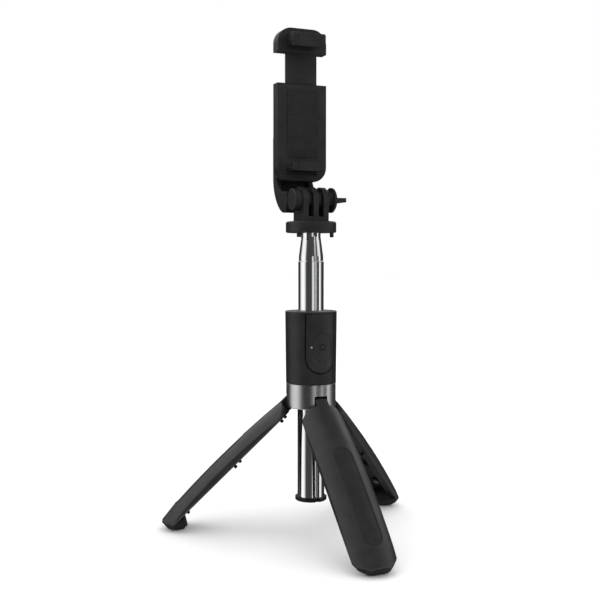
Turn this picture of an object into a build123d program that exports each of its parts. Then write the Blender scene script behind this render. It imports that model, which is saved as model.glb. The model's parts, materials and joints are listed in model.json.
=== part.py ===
from build123d import *
from math import cos, hypot, radians, tan
import os

# Tripod selfie stick, in millimetres. The origin is on the ground under the pole,
# +Z is up and the remote's button faces -Y. Drawn with the legs open, the pole's
# first stage part way out and the clamp upright, opened to hold a phone.

# Heights above the ground
TUBE_BOTTOM = 22.5
COLLAR_BOTTOM = 76.5
HOUSING_BOTTOM = 91.2
HOUSING_TOP = 134.0
STAGE_TOP = 163.2
DISC_BOTTOM = 180.2
DISC_TOP = 186.9
TILT_HEIGHT = 199.7
PIVOT_HEIGHT = 238.0
LOWER_GRIP = 219.5
UPPER_GRIP = 292.6

# Pole: five stages inside the fixed tube
POLE_RADIUS = 8.05
POLE_WALL = 0.3
STAGE_STEP = 0.45
STAGES = 5
SLIDE_GAP = 0.04
SLEEVE_HEIGHT = 8.0
FIRST_STAGE_BOTTOM = 72.6
LIP_HEIGHT = 2.5
LAST_STAGE_REACH = 8.8
GROOVE_RADIUS = 1.1
GROOVE_DEPTH = 0.55

# Handle
COLLAR_RADIUS = 14.8
HOUSING_LOW_RADIUS = 14.9
HOUSING_HIGH_RADIUS = 15.4
CAP_THICKNESS = 1.4
CAP_RIM_RADIUS = 9.45
CAP_RIM_HEIGHT = 2.1
CAP_PLUG_HEIGHT = 4.0
PEG_CIRCLE = 12.3
PEG_RADIUS = 1.2
PEG_LENGTH = 2.7
PEG_ANGLES = (-150, -30, 90)
COLLAR_SCREW_CIRCLE = 11.2
COLLAR_SCREW_ANGLES = (-150, -30, 90)

# Legs
LEG_NAMES = ("front", "right", "left")
LEG_ANGLES = (-90, 30, 150)
OPEN_ANGLE = 45.0
HINGE_CIRCLE = 11.3
HINGE_HEIGHT = 81.0
PIN_RADIUS = 1.0
KNUCKLE_RADIUS = 2.8
KNUCKLE_WIDTH = 7.6
SLOT_WIDTH = 8.0
LEG_LENGTH = 109.3
LEG_TOP_GAP = 5.4
LEG_HALF_WIDTH = 13.4
SHOULDER_RADIUS = 8.5
FOOT_CORNER = 7.0
FOOT_NOSE_X = 15.0
FOOT_NOSE_RADIUS = 9.6
LEG_BORE = 13.6
LEG_SIDE_GAP = 0.2
LINER_BORE = 11.6
RAIL_BORE = 9.9
RAIL_INNER = 7.1
RAIL_SPACING = 11.5
RIB_HEIGHTS = (-12.0, -46.0, -70.0, -101.4)
RIB_THICKNESS = 1.6
FRAME_BOTTOM = -101.4
FOOT_TOP = -101.5
LEG_BULGE = ((15.0, -5.4), (17.1, -45.0), (16.0, -98.0))
LEG_END_RADIUS = 14.7
GRIP_CENTRE = -66.5
GRIP_LENGTH = 61.0
GRIP_WIDTH = 11.2
GRIP_DEPTH = 0.8
CUT_SIZE = 40.0
LEG_SCREW_HEIGHTS = (-52.0, -90.0)
LEG_SCREW_RADIUS = 0.8
LEG_SCREW_HEAD = 1.6
BOSS_RADIUS = 3.2
STUD_RADIUS = 1.0
STUD_Y = 7.6
STUD_REACH = 1.8
STUD_HEIGHTS = (-12.5, -52.0, -98.0)

# Remote
REMOTE_BOTTOM = 98.1
REMOTE_HALF_WIDTH = 8.5
REMOTE_BACK = 9.4
REMOTE_GAP = 0.15
REMOTE_WALL = 1.2
BUTTON_X = 0.7
BUTTON_HEIGHT = 113.2
BUTTON_SIZE = (10.6, 16.9)
BUTTON_GAP = 0.15
POCKET_RIM = 1.1
LED_X = -5.9
LED_RADIUS = 0.55

# Head
DISC_RADIUS = 15.0
PRONG_RADIUS = 7.5
PRONG_THICKNESS = 3.2
PRONG_PITCH = 6.5
BRIDGE_TOP = 189.6
BOLT_RADIUS = 2.45
BOLT_BORE = 2.5
NUT_CAP_RADIUS = 6.5
NUT_CAP_LENGTH = 4.6
KNOB_RADIUS = 7.45

# Arm and clamp, from front to back along +Y
ARM_HALF_WIDTH = 12.0
ARM_FRONT = 25.0
ARM_BACK = 30.3
ARM_WEB = 2.4
TONGUE_RADIUS = 5.3
TONGUE_THICKNESS = 3.1
LIP_FRONT = 1.6
LIP_BACK = 4.0
CLAMP_FRONT = 12.5
COVER_BACK = 14.0
CHANNEL_BACK = 16.5
CLAMP_BACK = 21.0
CLAMP_WIDTH = 32.0
CLAMP_BOTTOM = 211.4
CLAMP_BODY_TOP = 270.0
CLAMP_TOP = 303.1
JAW_HEAD_BOTTOM = 288.6
CLAMP_CORNER = 9.0
HOOK_HALF_WIDTH = 10.35
SEAM_X = 7.3
SEAM_WIDTH = 0.35
SEAM_DEPTH = 0.3
JAW_PIN_RADIUS = 0.7
PIN_Y = 2.9
PAD_THICKNESS = 1.0
SLIDE_HALF_WIDTH = 10.0
SLIDE_BOTTOM = 238.5
SPRING_X = 12.0
SPRING_RADIUS = 1.6
SPRING_WIRE = 0.5

os.makedirs("parts", exist_ok=True)


def save(piece, name):
    """Label a finished piece and write it under its own name."""
    piece.label = name
    export_step(piece, f"parts/{name}.step")


def placed(piece, place):
    """The same piece standing at another place."""
    with BuildPart() as copy:
        with Locations(place):
            add(piece)
    return copy.part


def pole_section(inset, height):
    """Pole outline with its guide groove, drawn an even distance inside the tube's skin."""
    with BuildSketch(Plane.XY.offset(height)) as section:
        Circle(POLE_RADIUS - inset)
        with Locations((0, -POLE_RADIUS - GROOVE_RADIUS + GROOVE_DEPTH)):
            Circle(GROOVE_RADIUS + inset, mode=Mode.SUBTRACT)
    return section.sketch


def pole_ring(outer_inset, inner_inset, bottom, top):
    """Length of pole tube between two insets."""
    with BuildPart() as ring:
        extrude(pole_section(outer_inset, bottom), amount=top - bottom)
        extrude(pole_section(inner_inset, bottom), amount=top - bottom, mode=Mode.SUBTRACT)
    return ring.part


def pole_tube(inset, bottom, top, lipped):
    """One stage of the pole, with a mouth drawn in close to the next stage if it has one."""
    with BuildPart() as tube:
        add(pole_ring(inset, inset + POLE_WALL, bottom, top))
        if lipped:
            add(pole_ring(inset, inset + STAGE_STEP - SLIDE_GAP, top - LIP_HEIGHT, top))
    return tube.part


def housing_radius(height):
    """Radius of the tapered housing at a height."""
    share = (height - HOUSING_BOTTOM) / (HOUSING_TOP - HOUSING_BOTTOM)
    return HOUSING_LOW_RADIUS + share * (HOUSING_HIGH_RADIUS - HOUSING_LOW_RADIUS)


def tapered_body(inset, bottom, top):
    """Solid of the housing's taper, an even distance inside its skin."""
    with BuildPart() as body:
        with BuildSketch(Plane.XZ):
            with BuildLine():
                Polyline(
                    (0, bottom),
                    (housing_radius(bottom) - inset, bottom),
                    (housing_radius(top) - inset, top),
                    (0, top),
                    close=True,
                )
            make_face()
        revolve(axis=Axis.Z)
    return body.part


def remote_outline(grow, back, top):
    """U-shaped front outline of the remote, grown by a distance, as a prism reaching forward."""
    half = REMOTE_HALF_WIDTH + grow
    centre = REMOTE_BOTTOM + REMOTE_HALF_WIDTH
    with BuildPart() as prism:
        with BuildSketch(Plane.XZ.offset(back)):
            with Locations((0, centre)):
                Circle(half)
            with Locations((0, (centre + top) / 2)):
                Rectangle(2 * half, top - centre)
        extrude(amount=HOUSING_HIGH_RADIUS)
    return prism.part


def axis_cylinder(radius, start, end):
    """Round bar along X through the tilt axis, from one X to another."""
    with BuildPart() as bar:
        with BuildSketch(Plane.YZ.offset(start)):
            with Locations((0, TILT_HEIGHT)):
                Circle(radius)
        extrude(amount=end - start)
    return bar.part


def pivot_cylinder(radius, front, back):
    """Round bar along Y through the clamp's turning axis, from one Y to another."""
    with BuildPart() as bar:
        with BuildSketch(Plane.XZ.offset(-back)):
            with Locations((0, PIVOT_HEIGHT)):
                Circle(radius)
        extrude(amount=back - front)
    return bar.part


def upright_plate(width, bottom, top, front, back, low_corner, high_corner):
    """Plate facing the front, with rounded corners at its foot and its top."""
    with BuildPart() as plate:
        with BuildSketch(Plane.XZ.offset(-back)) as face:
            with Locations((0, (bottom + top) / 2)):
                Rectangle(width, top - bottom)
            if low_corner:
                fillet(face.vertices().group_by(Axis.Y)[0], radius=low_corner)
            if high_corner:
                fillet(face.vertices().group_by(Axis.Y)[-1], radius=high_corner)
        extrude(amount=back - front)
    return plate.part


# ---- Pole -------------------------------------------------------------------

ROD_END = STAGE_TOP + LAST_STAGE_REACH

save(pole_tube(0, TUBE_BOTTOM, HOUSING_TOP - CAP_THICKNESS, True), "outer_tube")

for stage in range(1, STAGES + 1):
    inset = stage * STAGE_STEP
    bottom = FIRST_STAGE_BOTTOM + stage - 1
    last = stage == STAGES
    top = ROD_END if last else STAGE_TOP
    save(pole_tube(inset, bottom, top, not last), f"rod_tube_{stage}")
    sleeve_outer = inset - STAGE_STEP + POLE_WALL + SLIDE_GAP
    save(pole_ring(sleeve_outer, inset, bottom, bottom + SLEEVE_HEIGHT), f"rod_sleeve_{stage}")

with BuildPart() as tube_end_cap:
    with BuildSketch(Plane.XY.offset(TUBE_BOTTOM)):
        Circle(CAP_RIM_RADIUS)
    extrude(amount=-CAP_RIM_HEIGHT)
    chamfer(tube_end_cap.edges().group_by(Axis.Z)[0], length=0.5)
    extrude(pole_section(POLE_WALL + SLIDE_GAP, TUBE_BOTTOM), amount=CAP_PLUG_HEIGHT)
    with BuildSketch(Plane.XY.offset(TUBE_BOTTOM)):
        with Locations((0, -CAP_RIM_RADIUS + 0.6)):
            Rectangle(2.4, 1.8)
    extrude(amount=-CAP_RIM_HEIGHT, mode=Mode.SUBTRACT)
save(tube_end_cap.part, "tube_end_cap")

# ---- Handle -----------------------------------------------------------------

SLOT_TOP = HINGE_HEIGHT + KNUCKLE_RADIUS + 0.5
SCREW_SHANK = 1.2
SCREW_HEAD = 2.1
SCREW_HEAD_HEIGHT = 1.6
SCREW_HEAD_TOP = COLLAR_BOTTOM + 3.0
SCREW_TIP = HOUSING_BOTTOM + 7.0

with BuildPart() as collar:
    with BuildSketch(Plane.XY.offset(COLLAR_BOTTOM)):
        Circle(COLLAR_RADIUS)
        Circle(POLE_RADIUS + 0.01, mode=Mode.SUBTRACT)
    extrude(amount=HOUSING_BOTTOM - COLLAR_BOTTOM)
    rims = collar.edges().filter_by(GeomType.CIRCLE).sort_by(SortBy.RADIUS)[-2:]
    chamfer(rims, length=0.4)
    with BuildSketch(Plane.XY.offset(COLLAR_BOTTOM)):
        with PolarLocations(COLLAR_RADIUS, 3, start_angle=LEG_ANGLES[0]):
            Rectangle(2 * COLLAR_RADIUS, SLOT_WIDTH)
        Circle(POLE_RADIUS + 0.01, mode=Mode.SUBTRACT)
    extrude(amount=SLOT_TOP - COLLAR_BOTTOM, mode=Mode.SUBTRACT)
    with BuildSketch(Plane.XY.offset(COLLAR_BOTTOM)):
        with PolarLocations(COLLAR_SCREW_CIRCLE, 3, start_angle=COLLAR_SCREW_ANGLES[0]):
            Circle(SCREW_SHANK)
    extrude(amount=HOUSING_BOTTOM - COLLAR_BOTTOM, mode=Mode.SUBTRACT)
    with BuildSketch(Plane.XY.offset(COLLAR_BOTTOM)):
        with PolarLocations(COLLAR_SCREW_CIRCLE, 3, start_angle=COLLAR_SCREW_ANGLES[0]):
            Circle(SCREW_HEAD)
    extrude(amount=SCREW_HEAD_TOP - COLLAR_BOTTOM, mode=Mode.SUBTRACT)
    for angle in LEG_ANGLES:
        pin_plane = Plane.XY.rotated((0, 0, angle)).offset(HINGE_HEIGHT)
        with Locations(pin_plane * Location((HINGE_CIRCLE, 0, 0))):
            Cylinder(PIN_RADIUS, 14, rotation=(90, 0, 0), mode=Mode.SUBTRACT)
save(collar.part, "collar")

with BuildPart() as hinge_pins:
    for angle in LEG_ANGLES:
        pin_plane = Plane.XY.rotated((0, 0, angle)).offset(HINGE_HEIGHT)
        with Locations(pin_plane * Location((HINGE_CIRCLE, 0, 0))):
            Cylinder(PIN_RADIUS, 14, rotation=(90, 0, 0))
save(hinge_pins.part, "hinge_pins")

with BuildPart() as collar_screws:
    with BuildSketch(Plane.XY.offset(SCREW_HEAD_TOP - SCREW_HEAD_HEIGHT)):
        with PolarLocations(COLLAR_SCREW_CIRCLE, 3, start_angle=COLLAR_SCREW_ANGLES[0]):
            Circle(SCREW_HEAD - 0.1)
            RegularPolygon(1.0, 6, mode=Mode.SUBTRACT)
    extrude(amount=SCREW_HEAD_HEIGHT - 0.4)
    with BuildSketch(Plane.XY.offset(SCREW_HEAD_TOP - 0.4)):
        with PolarLocations(COLLAR_SCREW_CIRCLE, 3, start_angle=COLLAR_SCREW_ANGLES[0]):
            Circle(SCREW_HEAD - 0.1)
    extrude(amount=0.4)
    with BuildSketch(Plane.XY.offset(SCREW_HEAD_TOP)):
        with PolarLocations(COLLAR_SCREW_CIRCLE, 3, start_angle=COLLAR_SCREW_ANGLES[0]):
            Circle(SCREW_SHANK)
    extrude(amount=SCREW_TIP - SCREW_HEAD_TOP)
save(collar_screws.part, "collar_screws")

CAP_BOTTOM = HOUSING_TOP - CAP_THICKNESS
PEG_HOLE_RADIUS = PEG_RADIUS + 0.3
PEG_HOLE_BOTTOM = HOUSING_TOP - PEG_LENGTH - 0.5

with BuildPart() as peg_holes:
    with BuildSketch(Plane.XY.offset(PEG_HOLE_BOTTOM)):
        with PolarLocations(PEG_CIRCLE, 3, start_angle=PEG_ANGLES[0]):
            Circle(PEG_HOLE_RADIUS)
    extrude(amount=HOUSING_TOP - PEG_HOLE_BOTTOM)

with BuildPart() as upper_housing:
    add(tapered_body(0, HOUSING_BOTTOM, CAP_BOTTOM))
    with BuildSketch(Plane.XY.offset(HOUSING_BOTTOM)):
        Circle(POLE_RADIUS + 0.01)
    extrude(amount=CAP_BOTTOM - HOUSING_BOTTOM, mode=Mode.SUBTRACT)
    before = upper_housing.edges()
    add(remote_outline(REMOTE_GAP, REMOTE_BACK - REMOTE_GAP, CAP_BOTTOM), mode=Mode.SUBTRACT)
    rim = [
        edge
        for edge in upper_housing.edges() - before
        if abs(hypot(edge.center().X, edge.center().Y) - housing_radius(edge.center().Z)) < 0.05
        and edge.center().Z < CAP_BOTTOM - 1
    ]
    chamfer(rim, length=POCKET_RIM)
    with BuildSketch(Plane.XY.offset(HOUSING_BOTTOM)):
        with PolarLocations(COLLAR_SCREW_CIRCLE, 3, start_angle=COLLAR_SCREW_ANGLES[0]):
            Circle(SCREW_SHANK)
    extrude(amount=SCREW_TIP - HOUSING_BOTTOM, mode=Mode.SUBTRACT)
    # two hollows at the back keep the moulded walls even
    with BuildSketch(Plane.XY.offset(HOUSING_BOTTOM)) as hollows:
        Circle(HOUSING_LOW_RADIUS - 1.7)
        Circle(POLE_RADIUS + 1.5, mode=Mode.SUBTRACT)
        with Locations((0, -12)):
            Rectangle(40, 26, mode=Mode.SUBTRACT)
        Rectangle(7, 40, mode=Mode.SUBTRACT)
    extrude(amount=CAP_BOTTOM - HOUSING_BOTTOM - 3, mode=Mode.SUBTRACT)
    add(peg_holes.part, mode=Mode.SUBTRACT)
save(upper_housing.part, "upper_housing")

with BuildPart() as housing_top_cap:
    add(tapered_body(0, CAP_BOTTOM, HOUSING_TOP))
    chamfer(housing_top_cap.edges().group_by(Axis.Z)[-1], length=0.4)
    extrude(pole_section(STAGE_STEP - 0.15, CAP_BOTTOM), amount=CAP_THICKNESS, mode=Mode.SUBTRACT)
    add(peg_holes.part, mode=Mode.SUBTRACT)
save(housing_top_cap.part, "housing_top_cap")

# ---- Remote -----------------------------------------------------------------

REMOTE_TOP = CAP_BOTTOM - REMOTE_GAP
BACK_PLATE = 1.0
BOARD_THICKNESS = 0.8
BOARD_FRONT = REMOTE_BACK + BACK_PLATE + BOARD_THICKNESS
BOARD_WIDTH = 13.8
BOARD_BOTTOM = 113.4
BOARD_TOP = 130.6
CELL_RADIUS = 6.2
CELL_THICKNESS = 1.4
CELL_HEIGHT = REMOTE_BOTTOM + REMOTE_HALF_WIDTH

with BuildPart() as button_prism:
    with BuildSketch(Plane.XZ.offset(BOARD_FRONT)):
        with Locations((BUTTON_X, BUTTON_HEIGHT)):
            SlotOverall(BUTTON_SIZE[1], BUTTON_SIZE[0], rotation=90)
    extrude(amount=HOUSING_HIGH_RADIUS)

with BuildPart() as button_hole:
    with BuildSketch(Plane.XZ.offset(BOARD_FRONT)):
        with Locations((BUTTON_X, BUTTON_HEIGHT)):
            grown = (BUTTON_SIZE[1] + 2 * BUTTON_GAP, BUTTON_SIZE[0] + 2 * BUTTON_GAP)
            SlotOverall(grown[0], grown[1], rotation=90)
        with Locations((LED_X, BUTTON_HEIGHT)):
            Circle(LED_RADIUS)
    extrude(amount=HOUSING_HIGH_RADIUS)

with BuildPart() as remote_inside:
    add(tapered_body(REMOTE_WALL, REMOTE_BOTTOM, REMOTE_TOP - REMOTE_WALL))
    add(remote_outline(-REMOTE_WALL, REMOTE_BACK, REMOTE_TOP - REMOTE_WALL), mode=Mode.INTERSECT)

with BuildPart() as remote_front:
    with BuildSketch(Plane.XZ.offset(REMOTE_BACK + BACK_PLATE)):
        with Locations((0, 114)):
            Rectangle(30, 60)
    extrude(amount=HOUSING_HIGH_RADIUS)

with BuildPart() as remote_shell:
    add(tapered_body(0, REMOTE_BOTTOM, REMOTE_TOP))
    add(remote_outline(0, REMOTE_BACK, REMOTE_TOP), mode=Mode.INTERSECT)
    add(remote_front.part, mode=Mode.INTERSECT)
    add(remote_inside.part, mode=Mode.SUBTRACT)
    add(button_hole.part, mode=Mode.SUBTRACT)
    # fingertip scoop across the foot of the remote
    with BuildSketch(Plane.YZ) as scoop:
        with Locations((-REMOTE_BACK - 6.9, REMOTE_BOTTOM - 0.3)):
            Circle(1.6)
    extrude(amount=6, both=True, mode=Mode.SUBTRACT)
save(remote_shell.part, "remote_shell")

with BuildPart() as remote_back:
    add(tapered_body(0, REMOTE_BOTTOM, REMOTE_TOP))
    add(remote_outline(0, REMOTE_BACK, REMOTE_TOP), mode=Mode.INTERSECT)
    add(remote_front.part, mode=Mode.SUBTRACT)
save(remote_back.part, "remote_back")

with BuildPart() as remote_board:
    with BuildSketch(Plane.XZ.offset(BOARD_FRONT - BOARD_THICKNESS)):
        with Locations((0, (BOARD_BOTTOM + BOARD_TOP) / 2)):
            Rectangle(BOARD_WIDTH, BOARD_TOP - BOARD_BOTTOM)
    extrude(amount=BOARD_THICKNESS)
save(remote_board.part, "remote_board")

with BuildPart() as coin_cell:
    with BuildSketch(Plane.XZ.offset(REMOTE_BACK + BACK_PLATE)):
        with Locations((0, CELL_HEIGHT)):
            Circle(CELL_RADIUS)
    extrude(amount=CELL_THICKNESS)
    chamfer(coin_cell.edges().group_by(Axis.Y)[0], length=0.3)
save(coin_cell.part, "coin_cell")

SWITCH_FRONT = BOARD_FRONT + 0.9
SWITCH_RISE = 2.3

with BuildPart() as tact_switch:
    with BuildSketch(Plane.XZ.offset(BOARD_FRONT)):
        with Locations((BUTTON_X, BUTTON_HEIGHT + SWITCH_RISE)):
            Rectangle(4, 4)
    extrude(amount=0.6)
    with BuildSketch(Plane.XZ.offset(BOARD_FRONT + 0.6)):
        with Locations((BUTTON_X, BUTTON_HEIGHT + SWITCH_RISE)):
            Circle(1.2)
    extrude(amount=0.3)
save(tact_switch.part, "tact_switch")

with BuildPart() as led_lens:
    with BuildSketch(Plane.XZ.offset(BOARD_FRONT)):
        with Locations((LED_X, BUTTON_HEIGHT)):
            Circle(LED_RADIUS)
    extrude(amount=HOUSING_HIGH_RADIUS)
    add(tapered_body(0, REMOTE_BOTTOM, REMOTE_TOP), mode=Mode.INTERSECT)
save(led_lens.part, "led_lens")

BUTTON_TRAVEL = 0.4
with BuildPart() as button_back:
    with BuildSketch(Plane.XZ.offset(SWITCH_FRONT + BUTTON_TRAVEL + 0.1)):
        with Locations((BUTTON_X, BUTTON_HEIGHT)):
            Rectangle(20, 30)
    extrude(amount=HOUSING_HIGH_RADIUS)

with BuildPart() as shutter_button:
    add(tapered_body(-0.1, REMOTE_BOTTOM, REMOTE_TOP))
    add(button_prism.part, mode=Mode.INTERSECT)
    add(button_back.part, mode=Mode.INTERSECT)
save(shutter_button.part, "shutter_button")

# ---- Legs -------------------------------------------------------------------
# Each is drawn folded, round the pole's axis with its hinge at X = HINGE_CIRCLE and
# Z = 0, and then swung open about that hinge.


def leg_ring(bore, inset):
    """Full ring from which a leg's shell is cut."""
    with BuildPart() as ring:
        with BuildSketch(Plane.XZ):
            with BuildLine():
                top, middle, low = LEG_BULGE
                end = (LEG_END_RADIUS - inset, -LEG_LENGTH)
                foot = (low[0] - inset, low[1])
                head = (top[0] - inset, top[1])
                ThreePointArc(head, (middle[0] - inset, middle[1]), foot)
                Line(foot, end)
                Line(end, (bore, -LEG_LENGTH))
                Line((bore, -LEG_LENGTH), (bore, top[1]))
                Line((bore, top[1]), head)
            make_face()
        revolve(axis=Axis.Z)
    return ring.part


def wedge(gap, bottom, top, start):
    """A third of the circle about the pole, its two sides held back by a gap."""
    slope = tan(radians(60))
    back = gap / cos(radians(60))
    reach = 30
    with BuildPart() as sector:
        with BuildSketch(Plane.XY.offset(bottom)):
            with BuildLine():
                Polyline(
                    (start, slope * start - back),
                    (reach, slope * reach - back),
                    (reach, back - slope * reach),
                    (start, back - slope * start),
                    close=True,
                )
            make_face()
        extrude(amount=top - bottom)
    return sector.part


def side_bar(radius, start, end, side, height):
    """Round bar along X, to one side of the leg's middle plane."""
    with BuildPart() as bar:
        with BuildSketch(Plane.YZ.offset(start)):
            with Locations((side, height)):
                Circle(radius)
        extrude(amount=end - start)
    return bar.part


def radial_bar(radius, start, end, height):
    """Round bar along X in the leg's middle plane."""
    return side_bar(radius, start, end, 0, height)


with BuildPart() as grip_recess:
    with BuildSketch(Plane.YZ.offset(LEG_BORE)):
        with Locations((0, GRIP_CENTRE)):
            SlotOverall(GRIP_LENGTH, GRIP_WIDTH, rotation=90)
    extrude(amount=10)
    add(leg_ring(LEG_BORE - 1, GRIP_DEPTH), mode=Mode.SUBTRACT)

with BuildPart() as leg_outline:
    # front view of a leg as a prism: cut corners at its foot, round shoulders
    with BuildSketch(Plane.YZ) as view:
        with Locations((0, -(LEG_LENGTH + LEG_TOP_GAP) / 2)):
            Rectangle(2 * LEG_HALF_WIDTH, LEG_LENGTH - LEG_TOP_GAP)
        chamfer(view.vertices().group_by(Axis.Y)[0], length=FOOT_CORNER)
        fillet(view.vertices().group_by(Axis.Y)[-1], radius=SHOULDER_RADIUS)
    extrude(amount=2 * HINGE_CIRCLE)

TAB_BOTTOM = -12.0
TAB_OUTER = 14.6
LEG_SCREW_TIP = 14.5
LEG_SCREW_SEAT = RAIL_BORE + 1.2

with BuildPart() as leg_shell:
    add(leg_ring(LEG_BORE, 0))
    add(wedge(LEG_SIDE_GAP, -LEG_LENGTH, 0, 1.2), mode=Mode.INTERSECT)
    add(leg_outline.part, mode=Mode.INTERSECT)
    add(grip_recess.part, mode=Mode.SUBTRACT)
    with BuildSketch(Plane.XY):
        with Locations((HINGE_CIRCLE, 0)):
            Rectangle(12, KNUCKLE_WIDTH + 0.2)
    extrude(amount=TAB_BOTTOM, mode=Mode.SUBTRACT)
    for height in LEG_SCREW_HEIGHTS:
        add(
            radial_bar(LEG_SCREW_RADIUS, LEG_BORE - 1, LEG_SCREW_TIP + 0.1, height),
            mode=Mode.SUBTRACT,
        )

with BuildPart() as leg_frame:
    # curved liner under the shell
    with BuildSketch(Plane.XY.offset(FRAME_BOTTOM)):
        Circle(LEG_BORE - 0.1)
        Circle(LINER_BORE, mode=Mode.SUBTRACT)
        with Locations((RAIL_INNER - CUT_SIZE / 2, 0)):
            Rectangle(CUT_SIZE, CUT_SIZE, mode=Mode.SUBTRACT)
    extrude(amount=-LEG_TOP_GAP - FRAME_BOTTOM)
    # two rails
    with BuildSketch(Plane.XY.offset(FRAME_BOTTOM)):
        Circle(LEG_BORE - 0.1)
        Circle(RAIL_BORE, mode=Mode.SUBTRACT)
        with Locations((RAIL_INNER - CUT_SIZE / 2, 0)):
            Rectangle(CUT_SIZE, CUT_SIZE, mode=Mode.SUBTRACT)
        Rectangle(CUT_SIZE, RAIL_SPACING, mode=Mode.SUBTRACT)
    extrude(amount=-LEG_TOP_GAP - FRAME_BOTTOM)
    # cross ribs
    for height in RIB_HEIGHTS:
        with BuildSketch(Plane.XY.offset(height)):
            Circle(LEG_BORE - 0.1)
            Circle(RAIL_BORE, mode=Mode.SUBTRACT)
            with Locations((RAIL_INNER - CUT_SIZE / 2, 0)):
                Rectangle(CUT_SIZE, CUT_SIZE, mode=Mode.SUBTRACT)
        extrude(amount=RIB_THICKNESS)
    # pointed pocket through the liner, below the hinge
    with BuildSketch(Plane.YZ.offset(RAIL_BORE)):
        with BuildLine():
            Polyline((-4.6, -16), (4.6, -16), (4.6, -28), (0, -42), (-4.6, -28), close=True)
        make_face()
    extrude(amount=5, mode=Mode.SUBTRACT)
    # screw bosses
    for height in LEG_SCREW_HEIGHTS:
        add(radial_bar(BOSS_RADIUS, RAIL_BORE + 0.2, LEG_BORE - 0.6, height))
    for height in LEG_SCREW_HEIGHTS:
        add(radial_bar(LEG_SCREW_HEAD + 0.1, RAIL_BORE - 2, LEG_SCREW_SEAT, height), mode=Mode.SUBTRACT)
        add(radial_bar(LEG_SCREW_RADIUS, RAIL_BORE, LEG_BORE + 1, height), mode=Mode.SUBTRACT)
    add(leg_outline.part, mode=Mode.INTERSECT)
    # hinge tab and its knuckle
    with BuildSketch(Plane.XZ.offset(-KNUCKLE_WIDTH / 2)):
        with Locations((HINGE_CIRCLE, 0)):
            Circle(KNUCKLE_RADIUS)
        with BuildLine():
            Polyline(
                (HINGE_CIRCLE - KNUCKLE_RADIUS, 0),
                (HINGE_CIRCLE - KNUCKLE_RADIUS, -7.5),
                (RAIL_BORE, -9.5),
                (RAIL_BORE, TAB_BOTTOM),
                (TAB_OUTER, TAB_BOTTOM),
                (TAB_OUTER, -2.0),
                (HINGE_CIRCLE + KNUCKLE_RADIUS, 0),
                close=True,
            )
        make_face()
    extrude(amount=KNUCKLE_WIDTH)
    with Locations((HINGE_CIRCLE, 0, 0)):
        Cylinder(PIN_RADIUS + 0.04, KNUCKLE_WIDTH + 1, rotation=(90, 0, 0), mode=Mode.SUBTRACT)
    # snap studs on the rails
    for height in STUD_HEIGHTS:
        for side in (-STUD_Y, STUD_Y):
            add(side_bar(STUD_RADIUS, RAIL_INNER - STUD_REACH, RAIL_INNER + 1.8, side, height))

with BuildPart() as foot_pad:
    add(wedge(LEG_SIDE_GAP + 0.15, -LEG_LENGTH, FOOT_TOP, 1.2))
    with BuildSketch(Plane.XY.offset(-LEG_LENGTH)):
        Circle(LEG_BORE - 0.05)
    extrude(amount=LEG_LENGTH, mode=Mode.INTERSECT)
    add(leg_outline.part, mode=Mode.INTERSECT)
    # its inner side narrows to a rounded nose, which stands on the ground
    foot_height = LEG_LENGTH + FOOT_TOP
    with Locations((FOOT_NOSE_X, 0, FOOT_TOP - foot_height / 2)):
        Cone(FOOT_NOSE_RADIUS, FOOT_NOSE_RADIUS + foot_height, foot_height, mode=Mode.INTERSECT)
    # the ground cuts the foot flat when the leg stands open
    ground = -HINGE_HEIGHT / cos(radians(OPEN_ANGLE)) + HINGE_CIRCLE * tan(radians(OPEN_ANGLE))
    with BuildSketch(Plane.XZ.offset(-20)):
        with BuildLine():
            Polyline((0, ground), (30, ground - 30), (0, ground - 30), close=True)
        make_face()
    extrude(amount=40, mode=Mode.SUBTRACT)

with BuildPart() as leg_screws:
    for height in LEG_SCREW_HEIGHTS:
        add(radial_bar(LEG_SCREW_HEAD, RAIL_BORE + 0.2, LEG_SCREW_SEAT, height))
        add(radial_bar(LEG_SCREW_RADIUS, LEG_SCREW_SEAT, LEG_SCREW_TIP, height))

for name, angle in zip(LEG_NAMES, LEG_ANGLES):
    turned = Location((0, 0, 0), (0, 0, angle))
    hinge = Location((HINGE_CIRCLE, 0, HINGE_HEIGHT), (0, -OPEN_ANGLE, 0))
    stand = turned * hinge * Location((-HINGE_CIRCLE, 0, 0))
    save(placed(leg_shell.part, stand), f"leg_shell_{name}")
    save(placed(leg_frame.part, stand), f"leg_frame_{name}")
    save(placed(foot_pad.part, stand), f"foot_pad_{name}")
    save(placed(leg_screws.part, stand), f"leg_screws_{name}")

# ---- Head -------------------------------------------------------------------

CONE_BOTTOM = STAGE_TOP + 0.2
CONE_LOW_RADIUS = 7.25
CONE_RING = 2.8
CONE_HIGH_RADIUS = 5.7
SPIGOT_RADIUS = 4.0
LAST_INSET = STAGES * STAGE_STEP
HEAD_PIN_HEIGHT = 178.2

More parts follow.
